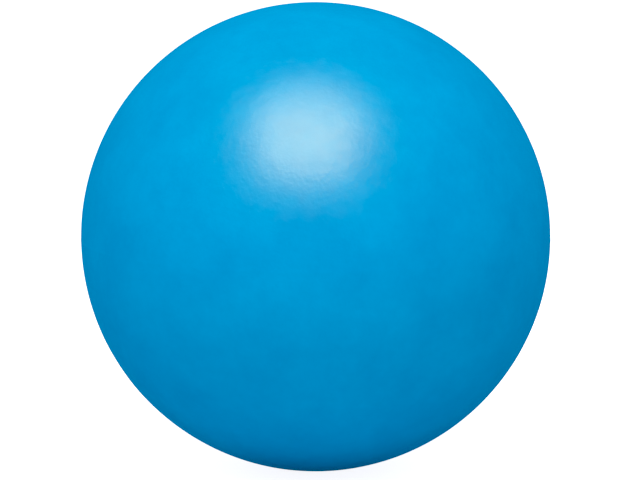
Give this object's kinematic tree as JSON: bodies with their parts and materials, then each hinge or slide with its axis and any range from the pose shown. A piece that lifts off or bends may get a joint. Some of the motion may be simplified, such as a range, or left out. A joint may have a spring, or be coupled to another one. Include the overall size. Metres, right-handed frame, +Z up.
{
  "type": "stress ball",
  "caption": "Round squeeze ball of soft moulded foam with a satin blue painted skin. It flattens in the hand and springs back.",
  "frame": {"origin": "lowest point of the ball, where it touches the desk", "axes": "+Z up, through the pour gate at the bottom and the crown, square to the mould's parting plane; -Y is the side where the parting line was trimmed cleanest"},
  "size_m": [0.063, 0.063, 0.063],
  "materials": {
    "core_foam": "matte",
    "moulded_skin": "matte",
    "colour_coat": "satin"
  },
  "bodies": {
    "lower_half": {"foam_core": "core_foam", "gate_plug": "core_foam", "skin_lower": "moulded_skin", "coat_lower": "colour_coat"},
    "upper_half": {"skin_upper": "moulded_skin", "coat_upper": "colour_coat"}
  },
  "joints": [
    {"name": "squeeze", "type": "slide", "parent": "lower_half", "child": "upper_half", "axis": [0, 0, -1], "range_m": [0, 0.0315], "stiffness_N_per_m": 2000, "deforming": ["foam_core", "skin_upper", "coat_upper"]}
  ]
}
